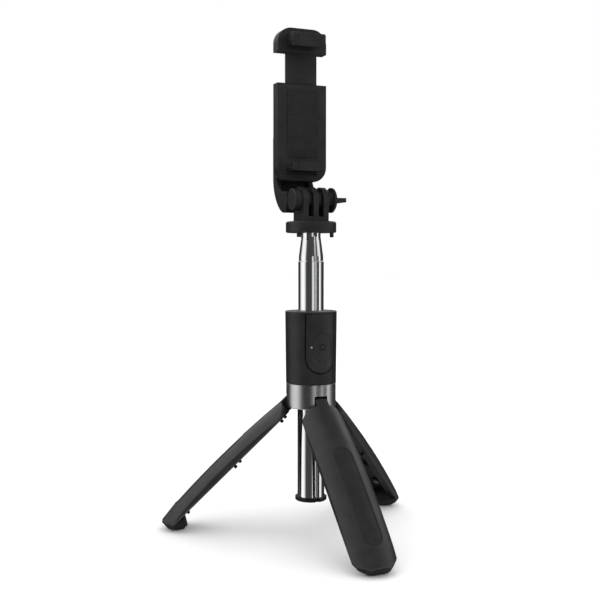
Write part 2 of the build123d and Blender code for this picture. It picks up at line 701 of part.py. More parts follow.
with BuildPart() as head_cone:
    with BuildSketch(Plane.XZ):
        with BuildLine():
            Polyline(
                (0, CONE_BOTTOM),
                (CONE_LOW_RADIUS, CONE_BOTTOM),
                (CONE_LOW_RADIUS, CONE_BOTTOM + CONE_RING),
                (CONE_HIGH_RADIUS, DISC_BOTTOM - 2.4),
                (CONE_HIGH_RADIUS, DISC_BOTTOM),
                (0, DISC_BOTTOM),
                close=True,
            )
        make_face()
    revolve(axis=Axis.Z)
    # the guide groove runs on up the cone
    with BuildSketch(Plane.XY.offset(CONE_BOTTOM)):
        with Locations((0, -CONE_LOW_RADIUS - GROOVE_RADIUS + GROOVE_DEPTH)):
            Circle(GROOVE_RADIUS)
    extrude(amount=CONE_RING, mode=Mode.SUBTRACT)
    with BuildSketch(Plane.XY.offset(CONE_BOTTOM + CONE_RING)):
        with Locations((0, -CONE_LOW_RADIUS - GROOVE_RADIUS + GROOVE_DEPTH)):
            Circle(GROOVE_RADIUS)
    with BuildSketch(Plane.XY.offset(DISC_BOTTOM)):
        with Locations((0, -CONE_HIGH_RADIUS - GROOVE_RADIUS + GROOVE_DEPTH)):
            Circle(GROOVE_RADIUS)
    loft(mode=Mode.SUBTRACT)
    extrude(pole_section(LAST_INSET, CONE_BOTTOM), amount=ROD_END - CONE_BOTTOM, mode=Mode.SUBTRACT)
    with BuildSketch(Plane.XY.offset(ROD_END)):
        Circle(SPIGOT_RADIUS)
    extrude(amount=DISC_BOTTOM - ROD_END, mode=Mode.SUBTRACT)
    with Locations((0, 0, HEAD_PIN_HEIGHT)):
        Cylinder(0.8, 20, rotation=(0, 90, 0), mode=Mode.SUBTRACT)
save(head_cone.part, "head_cone")

with BuildPart() as mount_disc:
    with BuildSketch(Plane.XY.offset(DISC_BOTTOM)):
        Circle(DISC_RADIUS)
    extrude(amount=DISC_TOP - DISC_BOTTOM)
    fillet(mount_disc.edges().group_by(Axis.Z)[-1], radius=1.2)
    fillet(mount_disc.edges().group_by(Axis.Z)[0], radius=1.0)
    with BuildSketch(Plane.XY.offset(DISC_BOTTOM)):
        Circle(SPIGOT_RADIUS)
    extrude(amount=ROD_END + 1.5 - DISC_BOTTOM)
    with BuildSketch(Plane.XY.offset(DISC_BOTTOM)):
        with PolarLocations(PEG_CIRCLE, 3, start_angle=PEG_ANGLES[0]):
            Circle(PEG_RADIUS)
    extrude(amount=-PEG_LENGTH)
    peg_tip = DISC_BOTTOM - PEG_LENGTH
    peg_edges = mount_disc.edges().filter_by_position(Axis.Z, peg_tip - 0.1, peg_tip + 0.1)
    fillet(peg_edges, radius=0.5)
    base_width = 2 * PRONG_PITCH + PRONG_THICKNESS
    with BuildSketch(Plane.XY.offset(DISC_TOP - 0.5)):
        Rectangle(base_width, 2 * PRONG_RADIUS)
    extrude(amount=BRIDGE_TOP - DISC_TOP + 0.5)
    for x in (-PRONG_PITCH, 0, PRONG_PITCH):
        with BuildSketch(Plane.YZ.offset(x - PRONG_THICKNESS / 2)):
            with Locations((0, TILT_HEIGHT)):
                Circle(PRONG_RADIUS)
            with Locations((0, (DISC_TOP + TILT_HEIGHT) / 2)):
                Rectangle(2 * PRONG_RADIUS, TILT_HEIGHT - DISC_TOP)
        extrude(amount=PRONG_THICKNESS)
    add(axis_cylinder(BOLT_BORE, -12, 12), mode=Mode.SUBTRACT)
    with Locations((0, 0, HEAD_PIN_HEIGHT)):
        Cylinder(0.8, 20, rotation=(0, 90, 0), mode=Mode.SUBTRACT)
save(mount_disc.part, "mount_disc")

with BuildPart() as head_pin:
    with Locations((0, 0, HEAD_PIN_HEIGHT)):
        Cylinder(0.8, 2 * CONE_HIGH_RADIUS - 0.2, rotation=(0, 90, 0))
save(head_pin.part, "head_pin")

FORK_HALF = PRONG_PITCH + PRONG_THICKNESS / 2
NUT_LENGTH = 3.6
NUT_FLAT_RADIUS = 4.0


def hex_bar(flat_radius, start, end):
    """Hexagonal bar along the tilt axis."""
    with BuildPart() as bar:
        with BuildSketch(Plane.YZ.offset(start)):
            with Locations((0, TILT_HEIGHT)):
                RegularPolygon(flat_radius, 6, major_radius=False)
        extrude(amount=end - start)
    return bar.part


with BuildPart() as nut_cap:
    add(axis_cylinder(NUT_CAP_RADIUS, -FORK_HALF - NUT_CAP_LENGTH, -FORK_HALF))
    fillet(nut_cap.edges().group_by(Axis.X)[0], radius=0.6)
    add(hex_bar(NUT_FLAT_RADIUS + 0.05, -FORK_HALF - NUT_LENGTH - 0.1, -FORK_HALF), mode=Mode.SUBTRACT)
save(nut_cap.part, "nut_cap")

with BuildPart() as hex_nut:
    add(hex_bar(NUT_FLAT_RADIUS, -FORK_HALF - NUT_LENGTH, -FORK_HALF))
    add(axis_cylinder(BOLT_BORE, -FORK_HALF - NUT_LENGTH, -FORK_HALF), mode=Mode.SUBTRACT)
save(hex_nut.part, "hex_nut")

KNOB_START = FORK_HALF + 0.3
KNOB_NECK = 4.6
RIM_START = KNOB_START + 4.0
RIM_END = RIM_START + 1.2
KNOB_END = RIM_END + 1.2
WING_LENGTH = 5.8
WING_WIDTH = 13.0
WING_THICKNESS = 2.5
WING_CORNER = 1.2

with BuildPart() as thumb_bolt:
    add(axis_cylinder(BOLT_RADIUS, -FORK_HALF - NUT_LENGTH + 0.2, KNOB_END - 1.5))
save(thumb_bolt.part, "thumb_bolt")

with BuildPart() as thumb_knob:
    with BuildSketch(Plane.XY.offset(TILT_HEIGHT)):
        with BuildLine():
            Line((KNOB_START, 0), (KNOB_START, KNOB_NECK))
            Line((KNOB_START, KNOB_NECK), (RIM_START - 1.8, KNOB_NECK))
            ThreePointArc((RIM_START - 1.8, KNOB_NECK), (RIM_START - 0.8, 5.4), (RIM_START, KNOB_RADIUS))
            Line((RIM_START, KNOB_RADIUS), (RIM_END, KNOB_RADIUS))
            ThreePointArc((RIM_END, KNOB_RADIUS), (RIM_END + 0.7, 6.4), (KNOB_END, KNOB_NECK))
            Line((KNOB_END, KNOB_NECK), (KNOB_END, 0))
            Line((KNOB_END, 0), (KNOB_START, 0))
        make_face()
    revolve(axis=Axis((0, 0, TILT_HEIGHT), (1, 0, 0)))
    with BuildSketch(Plane.XY.offset(TILT_HEIGHT - WING_THICKNESS / 2)) as wing:
        with Locations((KNOB_END + WING_LENGTH / 2 - 1, 0)):
            RectangleRounded(WING_LENGTH + 2, WING_WIDTH, WING_CORNER)
    extrude(amount=WING_THICKNESS)
    add(axis_cylinder(BOLT_RADIUS, KNOB_START, KNOB_END - 1.5), mode=Mode.SUBTRACT)
save(thumb_knob.part, "thumb_knob")

# ---- Arm --------------------------------------------------------------------

ARM_TOP = PIVOT_HEIGHT + 11.0
PIVOT_BORE = 2.0
PIVOT_HEAD = 3.8
PIVOT_HEAD_BACK = 29.8
PIVOT_HEAD_FRONT = 27.6
WASHER_FRONT = CLAMP_BACK + 0.1
BOSS_FRONT = 23.6

with BuildPart() as arm_pocket:
    with BuildSketch(Plane.YZ):
        with BuildLine():
            Polyline(
                (23.8, TILT_HEIGHT + 52),
                (ARM_BACK - ARM_WEB, TILT_HEIGHT + 52),
                (ARM_BACK - ARM_WEB, TILT_HEIGHT + 15),
            )
            ThreePointArc(
                (ARM_BACK - ARM_WEB, TILT_HEIGHT + 15),
                (24.4, TILT_HEIGHT + 3.2),
                (15.2, TILT_HEIGHT - 4.7),
            )
            Polyline(
                (15.2, TILT_HEIGHT - 4.7),
                (12.2, TILT_HEIGHT - 4.7),
                (12.2, TILT_HEIGHT + 8),
                (23.8, TILT_HEIGHT + 22),
                (23.8, TILT_HEIGHT + 52),
            )
        make_face()
    extrude(amount=ARM_HALF_WIDTH - 2.4, both=True)

with BuildPart() as clamp_arm:
    with BuildSketch(Plane.YZ):
        with BuildLine():
            Polyline(
                (ARM_FRONT, ARM_TOP),
                (ARM_BACK, ARM_TOP),
                (ARM_BACK, TILT_HEIGHT + 14.7),
            )
            ThreePointArc(
                (ARM_BACK, TILT_HEIGHT + 14.7),
                (26.2, TILT_HEIGHT + 1.6),
                (15.6, TILT_HEIGHT - 7.1),
            )
            Polyline(
                (15.6, TILT_HEIGHT - 7.1),
                (11.0, TILT_HEIGHT - 7.1),
                (8.7, TILT_HEIGHT + 0.5),
                (8.7, TILT_HEIGHT + 5.3),
                (13.0, TILT_HEIGHT + 5.3),
            )
            ThreePointArc(
                (13.0, TILT_HEIGHT + 5.3),
                (21.3, TILT_HEIGHT + 8.2),
                (ARM_FRONT, TILT_HEIGHT + 16),
            )
            Line((ARM_FRONT, TILT_HEIGHT + 16), (ARM_FRONT, ARM_TOP))
        make_face()
    extrude(amount=ARM_HALF_WIDTH, both=True)
    add(upright_plate(2 * ARM_HALF_WIDTH, TILT_HEIGHT - 8, ARM_TOP, 5, 32, 2.5, 11.0), mode=Mode.INTERSECT)
    add(arm_pocket.part, mode=Mode.SUBTRACT)
    add(pivot_cylinder(8.0, BOSS_FRONT, ARM_BACK - ARM_WEB))
    for x in (-PRONG_PITCH / 2, PRONG_PITCH / 2):
        with BuildSketch(Plane.YZ.offset(x - TONGUE_THICKNESS / 2)):
            with Locations((0, TILT_HEIGHT)):
                Circle(TONGUE_RADIUS)
            with Locations((5.2, TILT_HEIGHT)):
                Rectangle(10.4, 2 * TONGUE_RADIUS)
        extrude(amount=TONGUE_THICKNESS)
    add(axis_cylinder(BOLT_BORE, -12, 12), mode=Mode.SUBTRACT)
    add(pivot_cylinder(PIVOT_BORE, BOSS_FRONT, ARM_BACK), mode=Mode.SUBTRACT)
    add(pivot_cylinder(PIVOT_HEAD + 0.3, PIVOT_HEAD_FRONT, ARM_BACK), mode=Mode.SUBTRACT)
save(clamp_arm.part, "clamp_arm")

NUT_FRONT = 17.0
NUT_BACK = 19.2

with BuildPart() as pivot_bolt:
    add(pivot_cylinder(PIVOT_HEAD, PIVOT_HEAD_FRONT, PIVOT_HEAD_BACK))
    chamfer(pivot_bolt.edges().group_by(Axis.Y)[-1], length=0.5)
    add(pivot_cylinder(PIVOT_BORE, NUT_FRONT - 0.1, PIVOT_HEAD_FRONT))
    with BuildSketch(Plane.XZ.offset(-PIVOT_HEAD_BACK)):
        with Locations((0, PIVOT_HEIGHT)):
            RegularPolygon(1.5, 6)
    extrude(amount=1.3, mode=Mode.SUBTRACT)
save(pivot_bolt.part, "pivot_bolt")

with BuildPart() as pivot_nut:
    with BuildSketch(Plane.XZ.offset(-NUT_BACK)):
        with Locations((0, PIVOT_HEIGHT)):
            RegularPolygon(3.5, 6, major_radius=False)
            Circle(PIVOT_BORE, mode=Mode.SUBTRACT)
    extrude(amount=NUT_BACK - NUT_FRONT)
save(pivot_nut.part, "pivot_nut")

with BuildPart() as friction_washer:
    add(pivot_cylinder(7.0, WASHER_FRONT, BOSS_FRONT))
    add(pivot_cylinder(PIVOT_BORE, WASHER_FRONT, BOSS_FRONT), mode=Mode.SUBTRACT)
save(friction_washer.part, "friction_washer")

# ---- Clamp ------------------------------------------------------------------

SPRING_LOW = CLAMP_BOTTOM + 7.0
EAR_BOTTOM = 252.0
SPRING_Y = 15.9

with BuildPart() as clamp_body:
    add(upright_plate(CLAMP_WIDTH, CLAMP_BOTTOM, CLAMP_BODY_TOP, COVER_BACK, CLAMP_BACK, CLAMP_CORNER, 0))
    fillet(clamp_body.faces().sort_by(Axis.Y)[-1].edges(), radius=1.2)
    slide_room = 2 * (SLIDE_HALF_WIDTH + 0.25)
    add(
        upright_plate(slide_room, 220, CLAMP_BODY_TOP, COVER_BACK, CHANNEL_BACK, 1, 0),
        mode=Mode.SUBTRACT,
    )
    with BuildSketch(Plane.XY.offset(SPRING_LOW)):
        for x in (-SPRING_X, SPRING_X):
            with Locations((x, (COVER_BACK + 18) / 2)):
                Rectangle(3.8, 18 - COVER_BACK)
    extrude(amount=CLAMP_BODY_TOP - SPRING_LOW, mode=Mode.SUBTRACT)
    add(pivot_cylinder(5.2, CHANNEL_BACK - 0.5, NUT_BACK + 0.2), mode=Mode.SUBTRACT)
    add(pivot_cylinder(PIVOT_BORE + 0.06, NUT_BACK, CLAMP_BACK), mode=Mode.SUBTRACT)
save(clamp_body.part, "clamp_body")

JAW_ROOT = LOWER_GRIP - PAD_THICKNESS - 1.5
SLIT_X = -1.0
SLIT_WIDTH = 20.0
LOWER_PIN = LOWER_GRIP - 0.6

with BuildPart() as clamp_cover:
    add(upright_plate(CLAMP_WIDTH, CLAMP_BOTTOM, CLAMP_BODY_TOP, CLAMP_FRONT, COVER_BACK, CLAMP_CORNER, 0))
    chamfer(clamp_cover.faces().sort_by(Axis.Y)[0].edges(), length=0.6)
    with BuildSketch(Plane.XZ.offset(-CLAMP_FRONT - 1.0)):
        with Locations((SLIT_X, JAW_ROOT - 1.0)):
            Rectangle(SLIT_WIDTH, 0.9)
    extrude(amount=1.0, mode=Mode.SUBTRACT)
save(clamp_cover.part, "clamp_cover")


def hook(shelf_low, shelf_high, lip_low, lip_high):
    """Jaw seen from the side: a shelf that stands out from the clamp, with a lip at its front."""
    with BuildPart() as jaw:
        with BuildSketch(Plane.XZ.offset(-CLAMP_FRONT)):
            with Locations((0, (shelf_low + shelf_high) / 2)):
                Rectangle(2 * HOOK_HALF_WIDTH, shelf_high - shelf_low)
        extrude(amount=CLAMP_FRONT - LIP_FRONT)
        with BuildSketch(Plane.XZ.offset(-LIP_BACK)):
            with Locations((0, (lip_low + lip_high) / 2)):
                Rectangle(2 * HOOK_HALF_WIDTH, lip_high - lip_low)
        extrude(amount=LIP_BACK - LIP_FRONT)
    return jaw.part


def lip_seams(height):
    """Seams between the middle of a lip and the knuckles at its ends."""
    with BuildPart() as seams:
        with BuildSketch(Plane.XZ.offset(-LIP_FRONT - SEAM_DEPTH)):
            for x in (-SEAM_X, SEAM_X):
                with Locations((x, height)):
                    Rectangle(SEAM_WIDTH, 20)
        extrude(amount=1)
    return seams.part


def jaw_pin(radius, end, height):
    """Pin along X through a jaw's lip, reaching an equal distance each side of the middle."""
    with BuildPart() as pin:
        with BuildSketch(Plane.YZ.offset(-end)):
            with Locations((PIN_Y, height)):
                Circle(radius)
        extrude(amount=2 * end)
    return pin.part


def pin_recess(height):
    """Recesses round the two ends of a jaw's pin."""
    with BuildPart() as recess:
        add(jaw_pin(JAW_PIN_RADIUS + 0.35, HOOK_HALF_WIDTH, height))
        add(jaw_pin(JAW_PIN_RADIUS + 1, HOOK_HALF_WIDTH - 0.4, height), mode=Mode.SUBTRACT)
    return recess.part


with BuildPart() as lower_jaw:
    add(hook(JAW_ROOT, LOWER_GRIP - PAD_THICKNESS, JAW_ROOT, LOWER_GRIP + 3.0))
    front_corners = lower_jaw.edges().filter_by(Axis.Y).group_by(Axis.Z)[0]
    fillet(front_corners, radius=1.4)
    fillet(lower_jaw.edges().filter_by(Axis.X).group_by(Axis.Z)[-1], radius=0.9)
    add(lip_seams(LOWER_PIN), mode=Mode.SUBTRACT)
    add(pin_recess(LOWER_PIN), mode=Mode.SUBTRACT)
    add(jaw_pin(JAW_PIN_RADIUS, HOOK_HALF_WIDTH, LOWER_PIN), mode=Mode.SUBTRACT)
save(lower_jaw.part, "lower_jaw")

save(jaw_pin(JAW_PIN_RADIUS, HOOK_HALF_WIDTH, LOWER_PIN), "lower_jaw_pin")

with BuildPart() as lower_jaw_pad:
    with BuildSketch(Plane.XY.offset(LOWER_GRIP - PAD_THICKNESS)):
        with Locations((0, (LIP_BACK + CLAMP_FRONT) / 2)):
            RectangleRounded(2 * HOOK_HALF_WIDTH - 0.6, CLAMP_FRONT - LIP_BACK - 0.2, 1.0)
    extrude(amount=PAD_THICKNESS)
save(lower_jaw_pad.part, "lower_jaw_pad")

with BuildPart() as face_pad:
    add(upright_plate(20, 226, 266, CLAMP_FRONT - 0.5, CLAMP_FRONT, 2, 2))
save(face_pad.part, "face_pad")

HOOK_TOP = UPPER_GRIP + 5.9
UPPER_PIN = UPPER_GRIP + 1.0
SLIDE_FRONT = COVER_BACK + 0.2
SLIDE_BACK = CHANNEL_BACK - 0.3

with BuildPart() as upper_hook:
    add(hook(UPPER_GRIP + PAD_THICKNESS, HOOK_TOP, UPPER_GRIP - 2.4, HOOK_TOP))
    top_edges = upper_hook.edges().filter_by(Axis.X).group_by(Axis.Z)[-1]
    chamfer(top_edges.group_by(Axis.Y)[0], length=1.2)
    fillet(upper_hook.edges().filter_by(Axis.X).group_by(Axis.Z)[0], radius=0.9)
    add(lip_seams(UPPER_PIN), mode=Mode.SUBTRACT)
    add(pin_recess(UPPER_PIN), mode=Mode.SUBTRACT)
    add(jaw_pin(JAW_PIN_RADIUS, HOOK_HALF_WIDTH, UPPER_PIN), mode=Mode.SUBTRACT)

save(jaw_pin(JAW_PIN_RADIUS, HOOK_HALF_WIDTH, UPPER_PIN), "upper_jaw_pin")

with BuildPart() as upper_jaw:
    add(
        upright_plate(
            CLAMP_WIDTH, JAW_HEAD_BOTTOM, CLAMP_TOP, CLAMP_FRONT, CLAMP_BACK, 0, CLAMP_CORNER
        )
    )
    chamfer(upper_jaw.faces().sort_by(Axis.Y)[0].edges(), length=0.6)
    fillet(upper_jaw.faces().sort_by(Axis.Y)[-1].edges(), radius=1.2)
    add(upper_hook.part)
    slide_top = JAW_HEAD_BOTTOM + 1
    add(upright_plate(2 * SLIDE_HALF_WIDTH, SLIDE_BOTTOM, slide_top, SLIDE_FRONT, SLIDE_BACK, 1, 0))
    add(upright_plate(27.0, EAR_BOTTOM, EAR_BOTTOM + 4, SLIDE_FRONT, SLIDE_BACK, 0.5, 0.5))
save(upper_jaw.part, "upper_jaw")

with BuildPart() as upper_jaw_pad:
    with BuildSketch(Plane.XY.offset(UPPER_GRIP)):
        with Locations((0, (LIP_BACK + CLAMP_FRONT) / 2)):
            RectangleRounded(2 * HOOK_HALF_WIDTH - 0.6, CLAMP_FRONT - LIP_BACK - 0.2, 1.0)
    extrude(amount=PAD_THICKNESS)
save(upper_jaw_pad.part, "upper_jaw_pad")

# Close-wound springs, one at each side of the slide, drawn as a stack of rounded coils
SPRING_TOP = EAR_BOTTOM
coils = int((SPRING_TOP - SPRING_LOW) / (2 * SPRING_WIRE))
pitch = (SPRING_TOP - SPRING_LOW) / coils

with BuildPart() as one_spring:
    with BuildSketch(Plane.XZ):
        with BuildLine():
            inner = SPRING_RADIUS - 2 * SPRING_WIRE
            Line((inner, SPRING_LOW), (SPRING_RADIUS - 0.2, SPRING_LOW))
            for coil in range(coils):
                low = SPRING_LOW + coil * pitch
                ThreePointArc(
                    (SPRING_RADIUS - 0.2, low),
                    (SPRING_RADIUS, low + pitch / 2),
                    (SPRING_RADIUS - 0.2, low + pitch),
                )
            Line((SPRING_RADIUS - 0.2, SPRING_TOP), (inner, SPRING_TOP))
            Line((inner, SPRING_TOP), (inner, SPRING_LOW))
        make_face()
    revolve(axis=Axis.Z)

with BuildPart() as jaw_springs:
    with Locations((-SPRING_X, SPRING_Y, 0), (SPRING_X, SPRING_Y, 0)):
        add(one_spring.part)
save(jaw_springs.part, "jaw_springs")
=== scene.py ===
"""Looks for the tripod selfie stick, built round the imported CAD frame."""

import json
from math import atan2, cos, pi, radians, sin, sqrt

import bmesh
import bpy
from mathutils import Matrix, Vector
from mathutils.bvhtree import BVHTree


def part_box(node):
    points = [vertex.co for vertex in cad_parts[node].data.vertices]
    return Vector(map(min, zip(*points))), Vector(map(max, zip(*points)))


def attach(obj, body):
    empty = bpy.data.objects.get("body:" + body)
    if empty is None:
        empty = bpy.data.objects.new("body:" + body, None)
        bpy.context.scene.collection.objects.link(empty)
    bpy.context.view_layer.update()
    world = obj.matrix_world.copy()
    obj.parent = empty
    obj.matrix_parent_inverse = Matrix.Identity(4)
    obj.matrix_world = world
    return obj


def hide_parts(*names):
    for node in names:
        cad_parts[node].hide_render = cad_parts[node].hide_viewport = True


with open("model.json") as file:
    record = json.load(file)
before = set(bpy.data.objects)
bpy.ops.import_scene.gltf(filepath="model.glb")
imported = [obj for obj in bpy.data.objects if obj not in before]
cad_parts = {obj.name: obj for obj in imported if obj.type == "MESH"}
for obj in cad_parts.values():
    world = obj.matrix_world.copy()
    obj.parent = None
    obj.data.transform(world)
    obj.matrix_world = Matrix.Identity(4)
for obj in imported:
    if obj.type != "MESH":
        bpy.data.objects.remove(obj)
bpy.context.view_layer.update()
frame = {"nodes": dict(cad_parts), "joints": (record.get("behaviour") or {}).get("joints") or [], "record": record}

scene = bpy.context.scene
scene.view_settings.view_transform = "Standard"
MM = 0.001


# ---- Camera -----------------------------------------------------------------

CAMERA_AZIMUTH = radians(-24.3)
CAMERA_DISTANCE = 0.569
CAMERA_HEIGHT = 0.1652
CAMERA_PITCH = radians(2.51)
CAMERA_YAW = radians(0.66)
CAMERA_LENS = 57.3
SENSOR_WIDTH = 36.0

camera_data = bpy.data.cameras.new("camera")
camera_data.lens = CAMERA_LENS
camera_data.sensor_width = SENSOR_WIDTH
camera_data.clip_start = 0.01
camera = bpy.data.objects.new("camera", camera_data)
camera.location = (
    CAMERA_DISTANCE * sin(CAMERA_AZIMUTH),
    -CAMERA_DISTANCE * cos(CAMERA_AZIMUTH),
    CAMERA_HEIGHT,
)
camera.rotation_euler = (radians(90) - CAMERA_PITCH, 0, CAMERA_AZIMUTH + CAMERA_YAW)
scene.collection.objects.link(camera)
scene.camera = camera


# ---- Materials --------------------------------------------------------------


class Shader:
    """A node material under construction, with short calls for the nodes that repeat."""

    def __init__(self, name):
        self.material = bpy.data.materials.new(name)
        self.material.use_nodes = True
        self.tree = self.material.node_tree
        self.tree.nodes.clear()
        self.output = self.tree.nodes.new("ShaderNodeOutputMaterial")
        self.surface = self.tree.nodes.new("ShaderNodeBsdfPrincipled")
        self.link(self.surface.outputs["BSDF"], self.output.inputs["Surface"])
        self.place = self.tree.nodes.new("ShaderNodeTexCoord").outputs["Object"]

    def link(self, source, target):
        self.tree.links.new(source, target)

    def put(self, kind, **inputs):
        """A new node with constant inputs, written by socket name."""
        node = self.tree.nodes.new(kind)
        for name, value in inputs.items():
            node.inputs[name.replace("_", " ")].default_value = value
        return node

    def stretched(self, scale):
        """Object coordinates scaled along each axis."""
        mapping = self.put("ShaderNodeMapping", Scale=scale)
        self.link(self.place, mapping.inputs["Vector"])
        return mapping.outputs["Vector"]

    def noise(self, scale, detail=3.0, vector=None, roughness=0.55):
        """Noise from 0 to 1 at that many cells to the metre."""
        node = self.put("ShaderNodeTexNoise", Scale=scale, Detail=detail, Roughness=roughness)
        self.link(vector or self.place, node.inputs["Vector"])
        return node.outputs["Fac"]

    def remap(self, value, low, high, to_low, to_high):
        node = self.tree.nodes.new("ShaderNodeMapRange")
        for socket, number in zip(
            ("From Min", "From Max", "To Min", "To Max"), (low, high, to_low, to_high)
        ):
            node.inputs[socket].default_value = number
        self.link(value, node.inputs["Value"])
        return node.outputs["Result"]

    def mix(self, factor, first, second):
        """Colour mix, each side a colour or a socket."""
        node = self.tree.nodes.new("ShaderNodeMix")
        node.data_type = "RGBA"
        self.link(factor, node.inputs["Factor"])
        for socket, side in ((node.inputs[6], first), (node.inputs[7], second)):
            if isinstance(side, bpy.types.NodeSocket):
                self.link(side, socket)
            else:
                socket.default_value = (*side, 1.0)
        return node.outputs[2]

    def maths(self, operation, first, second):
        node = self.tree.nodes.new("ShaderNodeMath")
        node.operation = operation
        for socket, side in zip(node.inputs, (first, second)):
            if isinstance(side, bpy.types.NodeSocket):
                self.link(side, socket)
            else:
                socket.default_value = side
        return node.outputs["Value"]

    def bevelled_edges(self, radius):
        """(normal with softened edges, mask that is 1 along convex and concave edges)."""
        bevel = self.put("ShaderNodeBevel", Radius=radius)
        bevel.samples = 6
        geometry = self.tree.nodes.new("ShaderNodeNewGeometry")
        dot = self.tree.nodes.new("ShaderNodeVectorMath")
        dot.operation = "DOT_PRODUCT"
        self.link(bevel.outputs["Normal"], dot.inputs[0])
        self.link(geometry.outputs["Normal"], dot.inputs[1])
        return bevel.outputs["Normal"], self.remap(dot.outputs["Value"], 0.985, 0.85, 0.0, 1.0)

    def bump(self, height, strength, distance, normal=None):
        node = self.put("ShaderNodeBump", Strength=strength, Distance=distance)
        self.link(height, node.inputs["Height"])
        if normal:
            self.link(normal, node.inputs["Normal"])
        return node.outputs["Normal"]

    def set(self, **inputs):
        """Constants set on the surface's own sockets, or sockets linked to them."""
        for name, value in inputs.items():
            socket = self.surface.inputs[name.replace("_", " ")]
            if isinstance(value, bpy.types.NodeSocket):
                self.link(value, socket)
            else:
                socket.default_value = value


def moulded_plastic(name, colour, roughness, grain, specular=0.5, edge=0.00035, wear=0.35):
    """Moulded plastic: spark-eroded grain, faint mottling, handling shine and paler edges that are partly wear and
    partly painted sheen.
    """
    shader = Shader(name)
    mottle = shader.noise(95, 4)
    shine = shader.noise(38, 3)
    grain_height = shader.noise(5200, 2)
    pores = shader.noise(1500, 3)
    normal, edges = shader.bevelled_edges(edge)
    dark = [0.78 * c for c in colour]
    light = [1.25 * c for c in colour]
    # Paler colour along edges, in rubbed patches: partly wear, partly a painted sheen on the edges
    worn_and_sheen = [min(1, 2.6 * c + 0.012) for c in colour]
    base = shader.mix(shader.remap(mottle, 0.3, 0.7, 0, 1), dark, light)
    patches = shader.remap(shader.noise(260, 3), 0.35, 0.65, 0.25, 1)
    rubbed_and_sheen = shader.maths("MULTIPLY", edges, patches)
    shader.set(
        Base_Color=shader.mix(shader.maths("MULTIPLY", rubbed_and_sheen, wear), base, worn_and_sheen),
        Roughness=shader.maths(
            "SUBTRACT",
            shader.remap(shine, 0.3, 0.7, roughness - 0.06, roughness + 0.07),
            shader.maths("MULTIPLY", rubbed_and_sheen, 0.1),
        ),
        Specular_IOR_Level=specular,
        Normal=shader.bump(
            grain_height, grain, 0.00006, shader.bump(pores, grain * 0.6, 0.0001, normal)
        ),
    )
    return shader.material


def soft_rubber(name, colour, roughness=0.78, pebble=0.2):
    """Matt rubber with a fine pebbled skin and a little dust in scattered patches."""
    shader = Shader(name)
    pebbles = shader.put("ShaderNodeTexVoronoi", Scale=2300)
    shader.link(shader.place, pebbles.inputs["Vector"])
    height = shader.remap(pebbles.outputs["Distance"], 0.0, 0.75, 1, 0)
    normal, _ = shader.bevelled_edges(0.0003)
    dusty = [c + 0.006 for c in colour]
    dust = shader.remap(shader.noise(170, 5), 0.45, 0.75, 0, 0.6)
    shader.set(
        Base_Color=shader.mix(dust, colour, dusty),
        Roughness=shader.remap(shader.noise(60, 3), 0.3, 0.7, roughness - 0.07, roughness + 0.07),
        Specular_IOR_Level=0.25,
        Normal=shader.bump(height, pebble, 0.0001, normal),
    )
    return shader.material


def drawn_metal(name, colour, roughness, stretch, lines, smudge, edge=0.0002):
    """Metal with fine lines along its working direction, smudges and brighter edges."""
    shader = Shader(name)
    vector = shader.stretched(stretch)
    fine = shader.noise(1.0, 4, vector, 0.7)
    normal, _ = shader.bevelled_edges(edge)
    smudges = shader.noise(70, 5, roughness=0.65)
    dull = [0.9 * c for c in colour]
    bright = [min(1, 1.06 * c) for c in colour]
    shader.set(
        Base_Color=shader.mix(shader.remap(fine, 0.3, 0.7, 0, 1), dull, bright),
        Metallic=1.0,
        Roughness=shader.maths(
            "ADD",
            shader.remap(smudges, 0.45, 0.75, roughness, roughness + smudge),
            shader.remap(fine, 0.3, 0.7, 0, 0.35 * roughness),
        ),
        Normal=shader.bump(fine, lines, 0.00002, normal),
    )
    return shader.material


def circuit_board():
    """Green solder mask with copper lines showing through."""
    shader = Shader("board")
    tracks = shader.put("ShaderNodeTexBrick", Scale=420, Mortar_Size=0.03)
    tracks.inputs["Color1"].default_value = (0.012, 0.11, 0.04, 1)
    tracks.inputs["Color2"].default_value = (0.018, 0.15, 0.055, 1)
    tracks.inputs["Mortar"].default_value = (0.05, 0.26, 0.09, 1)
    shader.link(shader.place, tracks.inputs["Vector"])
    shader.set(
        Base_Color=tracks.outputs["Color"],
        Roughness=shader.remap(shader.noise(500), 0.3, 0.7, 0.25, 0.4),
        Normal=shader.bump(tracks.outputs["Fac"], 0.3, 0.00005),
    )
    return shader.material


def clear_lens():
    """Indicator: a milky lens with a faint glow."""
    shader = Shader("led")
    speckle = shader.remap(shader.noise(3000, 2), 0.3, 0.7, 0, 1)
    shader.set(
        Base_Color=shader.mix(speckle, (0.16, 0.19, 0.2), (0.2, 0.23, 0.24)),
        Emission_Color=(0.35, 0.68, 1.0, 1.0),
        Emission_Strength=0.03,
        Roughness=shader.remap(shader.noise(2000), 0.3, 0.7, 0.15, 0.3),
    )
    return shader.material


def capped_plastic():
    """Housing cap: pale satin top face, black round its edge."""
    shader = Shader("grey_plastic")
    geometry = shader.tree.nodes.new("ShaderNodeNewGeometry")
    parts = shader.tree.nodes.new("ShaderNodeSeparateXYZ")
    shader.link(geometry.outputs["Normal"], parts.inputs["Vector"])
    top = shader.remap(parts.outputs["Z"], 0.55, 0.8, 0, 1)
    mottle = shader.remap(shader.noise(95, 4), 0.3, 0.7, 0, 1)
    pale = shader.mix(mottle, (0.05, 0.05, 0.0515), (0.065, 0.065, 0.067))
    black = shader.mix(mottle, (0.009, 0.009, 0.0095), (0.013, 0.013, 0.0135))
    shader.set(
        Base_Color=shader.mix(top, black, pale),
        Roughness=shader.remap(shader.noise(38), 0.3, 0.7, 0.34, 0.44),
        Specular_IOR_Level=0.3,
        Normal=shader.bump(shader.noise(5200, 2), 0.12, 0.00006),
    )
    return shader.material


